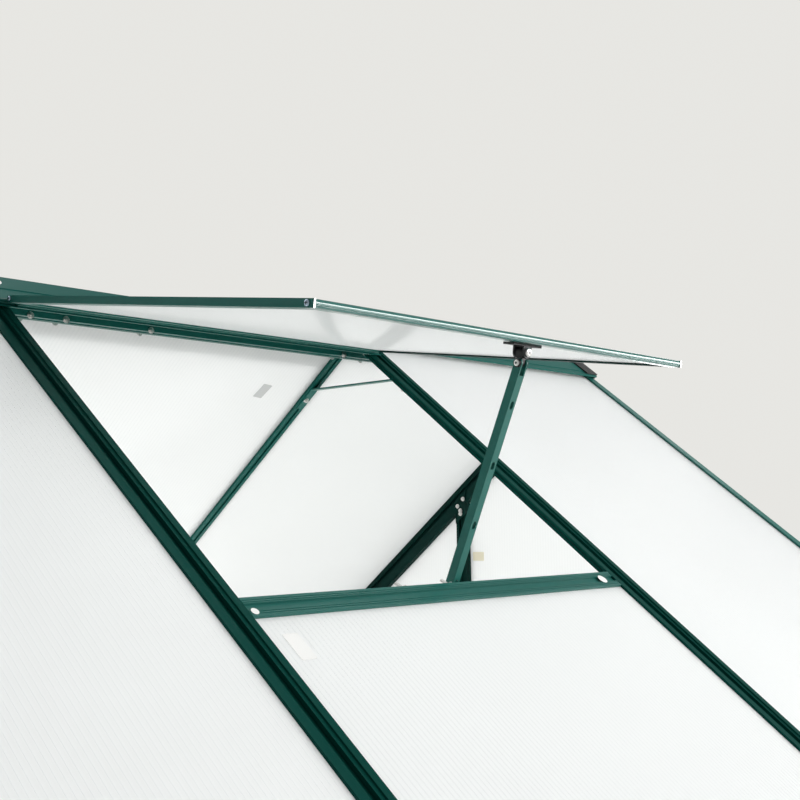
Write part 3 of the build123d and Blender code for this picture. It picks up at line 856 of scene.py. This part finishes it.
@dataclass
class FastenerKit:
    """Small fasteners, set out by Geometry Nodes on points that carry a facing."""

    finishes: Finishes

    def __post_init__(self) -> None:
        """Build one tree for each kind of fastener."""
        self.trees = {
            Fastener.NUT: self.nut_tree(),
            Fastener.PAN_SCREW: self.pan_tree(),
            Fastener.SOCKET_BOLT: self.socket_tree(),
        }

    def nut_tree(self) -> NodesTree:
        """Hexagon nut on a washer, with the end of its bolt."""
        tree = NodesTree("nut_row", ("Radius", "Height"))
        radius, height = tree.size("Radius"), tree.size("Height")
        washer_depth = tree.math("MULTIPLY", height, 0.2)
        washer = tree.cylinder(24, tree.math("MULTIPLY", radius, 1.35), washer_depth, 0.0)
        nut = tree.cylinder(6, radius, tree.math("MULTIPLY", height, 0.7), washer_depth)
        tip = tree.cylinder(14, tree.math("MULTIPLY", radius, 0.52), height, washer_depth)
        tree.finish(tree.painted(tree.on_points(tree.joined(washer, nut, tip)), self.finishes.steel))
        return tree

    def pan_tree(self) -> NodesTree:
        """Pan-head screw with a cross recess."""
        tree = NodesTree("pan_screw_row", ("Radius", "Height"))
        radius, height = tree.size("Radius"), tree.size("Height")
        half = tree.math("MULTIPLY", height, 0.5)
        head = tree.joined(tree.cylinder(28, radius, half, 0.0), tree.dome(radius, half, half))
        long_side = tree.math("MULTIPLY", radius, 1.15)
        short_side = tree.math("MULTIPLY", radius, 0.28)
        bars = []
        for across, along in ((long_side, short_side), (short_side, long_side)):
            bar = tree.node("GeometryNodeMeshCube", Size=tree.vector(across, along, half))
            bars.append(tree.moved(bar.outputs[0], 0.0, 0.0, tree.math("MULTIPLY", height, 0.78)))
        # The cross recess is dark bars on the head: painted shade, not a hole.
        metal = tree.painted(head, self.finishes.blue_steel)
        dark = tree.painted(tree.joined(*bars), self.finishes.recess)
        tree.finish(tree.on_points(tree.joined(metal, dark)))
        return tree

    def socket_tree(self) -> NodesTree:
        """Domed bolt head with a socket, on a dark washer."""
        tree = NodesTree("socket_bolt_row", ("Radius", "Height"))
        radius, height = tree.size("Radius"), tree.size("Height")
        half = tree.math("MULTIPLY", height, 0.5)
        head = tree.joined(tree.cylinder(28, radius, half, 0.0), tree.dome(radius, half, half))
        washer_depth = tree.math("MULTIPLY", height, 0.12)
        washer = tree.cylinder(28, tree.math("MULTIPLY", radius, 1.25), washer_depth, 0.0)
        socket = tree.cylinder(
            6, tree.math("MULTIPLY", radius, 0.34), half, tree.math("MULTIPLY", height, 0.53)
        )
        # The socket is a dark hexagon on the head, painted shade in place of a hole; the washer under the
        # head is dark too.
        metal = tree.painted(head, self.finishes.steel)
        dark = tree.painted(tree.joined(washer, socket), self.finishes.recess)
        tree.finish(tree.on_points(tree.joined(metal, dark)))
        return tree

    def row(self, kind: Fastener, spots: Sequence[Spot], radius: float, height: float) -> bpy.types.Mesh:
        """Fasteners of one kind and size.

        Args:
            kind: Kind of fastener.
            spots: Their places.
            radius: Radius of the head.
            height: Height of the head.

        Returns:
            One mesh in the row frame.
        """
        points = bpy.data.meshes.new("fastener_points")
        points.from_pydata([spot.place for spot in spots], [], [])
        facing = points.attributes.new("facing", "FLOAT_VECTOR", "POINT")
        for item, spot in zip(facing.data, spots):
            item.vector = spot.facing
        return self.trees[kind].evaluate(points, {"Radius": radius, "Height": height})


@dataclass
class FrameFasteners:
    """Nuts, bolts and screws of the roof frame, the vent and the stay."""

    roof: RoofGeometry
    kit: FastenerKit
    joints: dict[str, dict]
    ridge_nut_places: tuple[float, ...] = (-0.236, -0.189, -0.067, 0.275, 0.334)
    ridge_nut_rise: float = 3.4 * MM
    nut_radius: float = 3.2 * MM
    nut_height: float = 3.2 * MM
    rafter_depth: float = 12 * MM
    tie_thick: float = 1.5 * MM
    tie_bolt_down: float = 139.5 * MM
    rafter_bolt_downs: tuple[float, ...] = (0.042, 1.12)
    gable_body: float = 20 * MM
    gable_depth: float = 42 * MM
    gusset_thick: float = 2 * MM
    stud_offset: float = 264 * MM
    gusset_bolts: tuple[tuple[float, float], ...] = (
        (-7 * MM, 12 * MM),
        (7 * MM, 9 * MM),
        (0.0, -5 * MM),
        (0.0, -11 * MM),
    )
    rail_screw_front: float = 8 * MM
    rail_screw_rear: float = 11 * MM
    rail_middle: float = 4.1 * MM
    screw_radius: float = 3 * MM
    screw_height: float = 1.6 * MM
    bracket_half: float = 7 * MM
    stay_seat: float = 5.5 * MM
    bolt_radius: float = 4.6 * MM
    bolt_height: float = 3.1 * MM
    stay_head_radius: float = 3.7 * MM
    stay_nut_radius: float = 4.1 * MM
    stay_nut_height: float = 2.25 * MM

    def ridge_spots(self) -> list[Spot]:
        """Nuts low on both faces of the ridge core."""
        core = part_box("back_left_rafter")[0][1]
        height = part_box("ridge_beam")[0][2] + self.ridge_nut_rise
        return [
            Spot(Vector((x, side.value * core, height)), Vector((0, side.value, 0)))
            for x in self.ridge_nut_places
            for side in Slope
        ]

    def rafter_spots(self) -> list[Spot]:
        """Nuts on the inner faces of the rafters and on the tabs of the collar ties."""
        spots = []
        for slope in Slope:
            for hand in Hand:
                x = hand.value * self.roof.rafter_x
                outs = [(down, -self.rafter_depth) for down in self.rafter_bolt_downs]
                outs.append((self.tie_bolt_down, -self.rafter_depth - self.tie_thick))
                for down, out in outs:
                    frame = self.roof.slope_frame(slope, x, down, out)
                    spots.append(Spot(frame.translation, -frame.col[2].to_3d()))
        return spots

    def gusset_spots(self) -> list[Spot]:
        """Nuts on the gusset plates of both gables."""
        spots = []
        drop = self.gable_depth / math.cos(self.roof.pitch)
        for hand in Hand:
            x = hand.value * (self.roof.gable_x - self.gable_body - self.gusset_thick)
            for slope in Slope:
                for across, rise in self.gusset_bolts:
                    y = self.stud_offset + across
                    edge = self.roof.apex - y * math.tan(self.roof.pitch) - drop
                    spots.append(Spot(Vector((x, slope.value * y, edge + rise)), Vector((-hand.value, 0, 0))))
        return spots

    def rail_spots(self) -> list[Spot]:
        """Screws at both ends of the vent's side rails."""
        low = extents(bpy.data.objects["vent_left_rail"], self.roof.vent_frame())[0]
        spots = []
        for hand in Hand:
            for along in (-low.y - self.rail_screw_front, self.rail_screw_rear):
                place = self.roof.vent_frame(-hand.value * low.x, along, self.rail_middle).translation
                spots.append(Spot(place, Vector((hand.value, 0, 0))))
        return spots

    def build(self) -> None:
        """Make one mesh of fasteners for each body."""
        nuts = self.ridge_spots() + self.rafter_spots() + self.gusset_spots()
        frame_nuts = self.kit.row(Fastener.NUT, nuts, self.nut_radius, self.nut_height)
        place_object("frame_nuts", frame_nuts, ROOF_BODY)
        swing, tilt = self.joints["stay_swing"], self.joints["stay_tilt"]
        swing_axis = Vector(swing["axis"]).normalized()
        upper = Spot(Vector(swing["pos_m"]) + swing_axis * self.bracket_half, swing_axis)
        vent_rows = [
            self.kit.row(Fastener.PAN_SCREW, self.rail_spots(), self.screw_radius, self.screw_height),
            self.kit.row(Fastener.SOCKET_BOLT, [upper], self.bolt_radius, self.bolt_height),
        ]
        place_object("vent_screws", joined_mesh("vent_screws", vent_rows), VENT_BODY)
        tilt_axis = Vector(tilt["axis"]).normalized()
        middle = Vector(tilt["pos_m"])
        head = Spot(middle - tilt_axis * self.stay_seat, -tilt_axis)
        nut = Spot(middle + tilt_axis * self.stay_seat, tilt_axis)
        stay_rows = [
            self.kit.row(Fastener.SOCKET_BOLT, [head], self.stay_head_radius, self.bolt_height),
            self.kit.row(Fastener.SOCKET_BOLT, [nut], self.stay_nut_radius, self.stay_nut_height),
        ]
        place_object("stay_bolt", joined_mesh("stay_bolt", stay_rows), KNUCKLE_BODY)


def rounded_outline(width: float, height: float, corner: float) -> list[tuple[float, float]]:
    """Outline of a rectangle with round corners.

    Args:
        width: Width of the rectangle.
        height: Height of the rectangle.
        corner: Radius of the corners.

    Returns:
        Points around the outline.
    """
    points = []
    for turn in range(4):
        sign_x = 1 if turn in (0, 3) else -1
        sign_y = 1 if turn in (0, 1) else -1
        for step in range(7):
            angle = math.radians(90 * turn + 15 * step)
            x = sign_x * (width / 2 - corner) + corner * math.cos(angle)
            y = sign_y * (height / 2 - corner) + corner * math.sin(angle)
            points.append((x, y))
    return points


def thin_plate(
    outline: Sequence[tuple[float, float]], frame: Matrix, thick: float, finish: Material
) -> bpy.types.Mesh:
    """Thin plate on a surface.

    Args:
        outline: Points in the frame's XY plane.
        frame: Frame with Z out of the surface.
        thick: Height of the plate.
        finish: Material of the plate.

    Returns:
        The mesh in the row frame.
    """
    shape = bmesh.new()
    face = shape.faces.new([shape.verts.new((x, y, 0)) for x, y in outline])
    raised = bmesh.ops.extrude_face_region(shape, geom=[face])
    top = [item for item in raised["geom"] if isinstance(item, bmesh.types.BMVert)]
    bmesh.ops.translate(shape, vec=(0, 0, thick), verts=top)
    bmesh.ops.recalc_face_normals(shape, faces=shape.faces)
    mesh = bpy.data.meshes.new("plate")
    shape.to_mesh(mesh)
    shape.free()
    mesh.materials.append(finish)
    mesh.transform(frame)
    return mesh


@dataclass
class RailCuts:
    """Bare cut ends of the vent's side rails, where the saw went through the coat."""

    roof: RoofGeometry
    finishes: Finishes
    web: float = 2 * MM
    height: float = 8 * MM
    middle: float = 4.1 * MM
    thick: float = 0.1 * MM
    corner: float = 0.2 * MM

    def build(self, nodes: dict[str, bpy.types.Object]) -> None:
        """Make the bright ends.

        Args:
            nodes: CAD nodes by name.
        """
        low = extents(nodes["vent_left_rail"], self.roof.vent_frame())[0]
        outline = rounded_outline(self.web, self.height, self.corner)
        plates = []
        for hand in Hand:
            seat = self.roof.vent_frame(-hand.value * (low.x + self.web / 2), -low.y, self.middle)
            across, up, out, place = (column.to_3d() for column in seat.col)
            frame = frame_matrix(place, across, out, -up)
            plates.append(thin_plate(outline, frame, self.thick, self.finishes.bare_metal))
        place_object("rail_cuts", joined_mesh("rail_cuts", plates), VENT_BODY)


@dataclass
class Labels:
    """Blank stickers on the sheets and bars."""

    roof: RoofGeometry
    finishes: Finishes
    thick: float = 0.15 * MM
    corner: float = 1.5 * MM
    sheet_size: tuple[float, float] = (18 * MM, 33 * MM)
    sheet_place: tuple[float, float] = (-0.26, 0.63)
    cream_size: tuple[float, float] = (27 * MM, 17 * MM)
    cream_across: float = 0.2325
    cream_drop: float = 0.3535
    # Grey plate on the inner face of the back sheet: painted shade of a sticker on its outer face, seen
    # through the sheet.
    sticker_shadow_size: tuple[float, float] = (18 * MM, 28 * MM)
    sticker_shadow_place: tuple[float, float] = (0.216, 0.134)
    sticker_shadow_turn: float = math.radians(8)
    disc_size: float = 13 * MM
    disc_corner: float = 6.4 * MM
    disc_place: tuple[float, float] = (0.262, 0.58)
    small_disc_size: float = 8 * MM
    small_disc_corner: float = 3.9 * MM
    small_disc_place: tuple[float, float] = (-0.2815, 0.586)
    ridge_place: tuple[float, float] = (-0.287, 25 * MM)
    ridge_reach: float = 50 * MM

    def ridge_seat(self, ridge: bpy.types.Object) -> Matrix:
        """Frame on the front wing of the ridge beam.

        Args:
            ridge: CAD node of the ridge beam.

        Returns:
            The frame, with its origin on the wing.
        """
        seat = self.roof.slope_frame(Slope.FRONT, *self.ridge_place, self.ridge_reach)
        hit, place, _, _ = ridge.ray_cast(seat.translation, -seat.col[2].to_3d())
        if hit:
            seat.translation = place
        return seat

    def build(self, nodes: dict[str, bpy.types.Object]) -> None:
        """Make all labels.

        Args:
            nodes: CAD nodes by name.
        """
        front, back = (self.roof.slope_frame(slope) for slope in Slope)
        sheet_top = extents(nodes["front_lower_panel"], front)[1].z
        sheet_under = extents(nodes["back_middle_panel"], back)[0].z
        gable_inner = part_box("right_gable_back_panel")[0][0]
        turned = Matrix.Rotation(self.sticker_shadow_turn, 4, "Z") @ Matrix.Rotation(math.pi, 4, "Y")
        inward = frame_matrix(
            Vector((gable_inner, self.cream_across, self.roof.apex - self.cream_drop)),
            Vector((0, -1, 0)),
            Vector((0, 0, 1)),
            Vector((-1, 0, 0)),
        )
        disc = rounded_outline(self.disc_size, self.disc_size, self.disc_corner)
        small_disc = rounded_outline(self.small_disc_size, self.small_disc_size, self.small_disc_corner)
        white = self.finishes.white_label
        stickers = (
            (
                rounded_outline(*self.sheet_size, self.corner),
                self.roof.slope_frame(Slope.FRONT, *self.sheet_place, sheet_top),
                white,
            ),
            (rounded_outline(*self.cream_size, self.corner), inward, self.finishes.cream_label),
            # The grey plate is painted shade of a sticker seen through the back sheet.
            (
                rounded_outline(*self.sticker_shadow_size, self.corner),
                self.roof.slope_frame(Slope.BACK, *self.sticker_shadow_place, sheet_under) @ turned,
                self.finishes.sticker_shadow_label,
            ),
            (disc, self.roof.slope_frame(Slope.FRONT, *self.disc_place), white),
            (small_disc, self.roof.slope_frame(Slope.FRONT, *self.small_disc_place), white),
            (disc, self.ridge_seat(nodes["ridge_beam"]), white),
        )
        plates = [thin_plate(outline, frame, self.thick, finish) for outline, frame, finish in stickers]
        place_object("blank_labels", joined_mesh("blank_labels", plates), ROOF_BODY)


@dataclass
class PhotoCamera:
    """Camera at the photograph's viewing angle, fitted to the roof's bars."""

    roof: RoofGeometry
    focal_pixels: float = 1219.0
    frame_pixels: float = 800.0
    sensor: float = 36.0
    yaw: float = math.radians(47.39)
    tilt: float = math.radians(5.78)
    roll: float = math.radians(0.87)
    place: Vector = field(default_factory=lambda: Vector((-0.975, -1.2725, -0.2877)))

    def build(self) -> None:
        """Make the camera and set it as the scene's camera."""
        forward = Vector(
            (
                math.sin(self.yaw) * math.cos(self.tilt),
                math.cos(self.yaw) * math.cos(self.tilt),
                math.sin(self.tilt),
            )
        )
        level = Vector((math.cos(self.yaw), -math.sin(self.yaw), 0))
        below = forward.cross(level)
        right = level * math.cos(self.roll) + below * math.sin(self.roll)
        down = below * math.cos(self.roll) - level * math.sin(self.roll)
        data = bpy.data.cameras.new("photo_camera")
        data.sensor_width = self.sensor
        data.lens = self.focal_pixels / self.frame_pixels * self.sensor
        data.clip_start = 0.01
        camera = bpy.data.objects.new("photo_camera", data)
        bpy.context.scene.collection.objects.link(camera)
        origin = self.place + Vector((0, 0, self.roof.apex))
        camera.matrix_world = frame_matrix(origin, right, -down, -forward)
        bpy.context.scene.camera = camera


@dataclass(frozen=True)
class Lamp:
    """Soft rectangular lamp, with its power in watts."""

    name: str
    place: tuple[float, float, float]
    size: tuple[float, float]
    power: float
    aim: tuple[float, float, float] = (0.0, -0.2, 0.55)

    def build(self) -> None:
        """Make the lamp and point it at its aim."""
        data = bpy.data.lights.new(self.name, "AREA")
        data.shape = "RECTANGLE"
        data.size, data.size_y = self.size
        data.energy = self.power
        lamp = bpy.data.objects.new(self.name, data)
        bpy.context.scene.collection.objects.link(lamp)
        lamp.location = self.place
        lamp.rotation_euler = (Vector(self.aim) - Vector(self.place)).to_track_quat("-Z", "Y").to_euler()


@dataclass
class Studio:
    """Plain pale floor, pale surroundings and soft lamps."""

    backdrop: Colour = (0.8, 0.795, 0.765)
    floor_size: float = 30.0
    floor_roughness: float = 0.8
    sky_strength: float = 0.4
    lamps: tuple[Lamp, ...] = (
        Lamp("front_softbox", (1.3, -4.2, 2.4), (3.0, 3.0), 72.0),
        Lamp("back_softbox", (0.2, 3.4, 4.2), (4.0, 4.0), 150.0),
        Lamp("right_strip", (2.8, -2.7, 1.05), (3.2, 0.8), 108.0),
        Lamp("right_softbox", (4.2, 1.6, 1.2), (2.0, 2.0), 45.0),
        Lamp("inner_fill", (0.0, 0.0, 0.04), (1.5, 1.5), 6.6, aim=(0.0, 0.0, 1.0)),
    )

    def build_world(self) -> None:
        """Make the surroundings: one tone for rays that show the background, white for light."""
        world = bpy.data.worlds.new("pale_room")
        bpy.context.scene.world = world
        world.use_nodes = True
        tree = NodeWriter(world.node_tree)
        path = tree.node("ShaderNodeLightPath").outputs
        share = tree.math("MAXIMUM", path["Is Camera Ray"], path["Is Transmission Ray"])
        light = tree.node("ShaderNodeBackground", Color=rgba((1.0, 1.0, 1.0)), Strength=self.sky_strength)
        shown = tree.node("ShaderNodeBackground", Color=rgba(self.backdrop))
        surface = tree.mix_shaders(share, light.outputs[0], shown.outputs[0])
        tree.node("ShaderNodeOutputWorld", Surface=surface)

    def build_floor(self) -> None:
        """Make the floor."""
        shape = bmesh.new()
        bmesh.ops.create_grid(shape, x_segments=1, y_segments=1, size=self.floor_size / 2)
        mesh = bpy.data.meshes.new("floor")
        shape.to_mesh(mesh)
        shape.free()
        tree = ShaderTree("pale_floor")
        shader = tree.node(
            "ShaderNodeBsdfPrincipled", Base_Color=rgba(self.backdrop), Roughness=self.floor_roughness
        )
        mesh.materials.append(tree.finish(shader.outputs[0]))
        floor = bpy.data.objects.new("floor", mesh)
        bpy.context.scene.collection.objects.link(floor)

    def build(self) -> None:
        """Make the whole studio."""
        self.build_world()
        self.build_floor()
        for lamp in self.lamps:
            lamp.build()
        bpy.context.scene.view_settings.view_transform = "Standard"


def dress_nodes(nodes: dict[str, bpy.types.Object], finishes: Finishes) -> None:
    """Give every CAD node its finish.

    Args:
        nodes: CAD nodes by name.
        finishes: Finishes of the roof.
    """
    for name, node in nodes.items():
        node.data.materials.clear()
        node.data.materials.append(finishes.for_node(name))


def main() -> None:
    """Build and dress the roof, its camera and its studio."""
    logging.basicConfig(level=logging.INFO, format="%(name)s: %(message)s")
    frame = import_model()
    roof = RoofGeometry.from_frame(frame)
    finishes = Finishes()
    dress_nodes(frame["nodes"], finishes)
    SheetRibs(roof, finishes).build(frame["nodes"])
    joints = {joint["name"]: joint for joint in frame["joints"]}
    FrameFasteners(roof, FastenerKit(finishes), joints).build()
    RailCuts(roof, finishes).build(frame["nodes"])
    Labels(roof, finishes).build(frame["nodes"])
    PhotoCamera(roof).build()
    Studio().build()


if __name__ == "__main__":
    main()
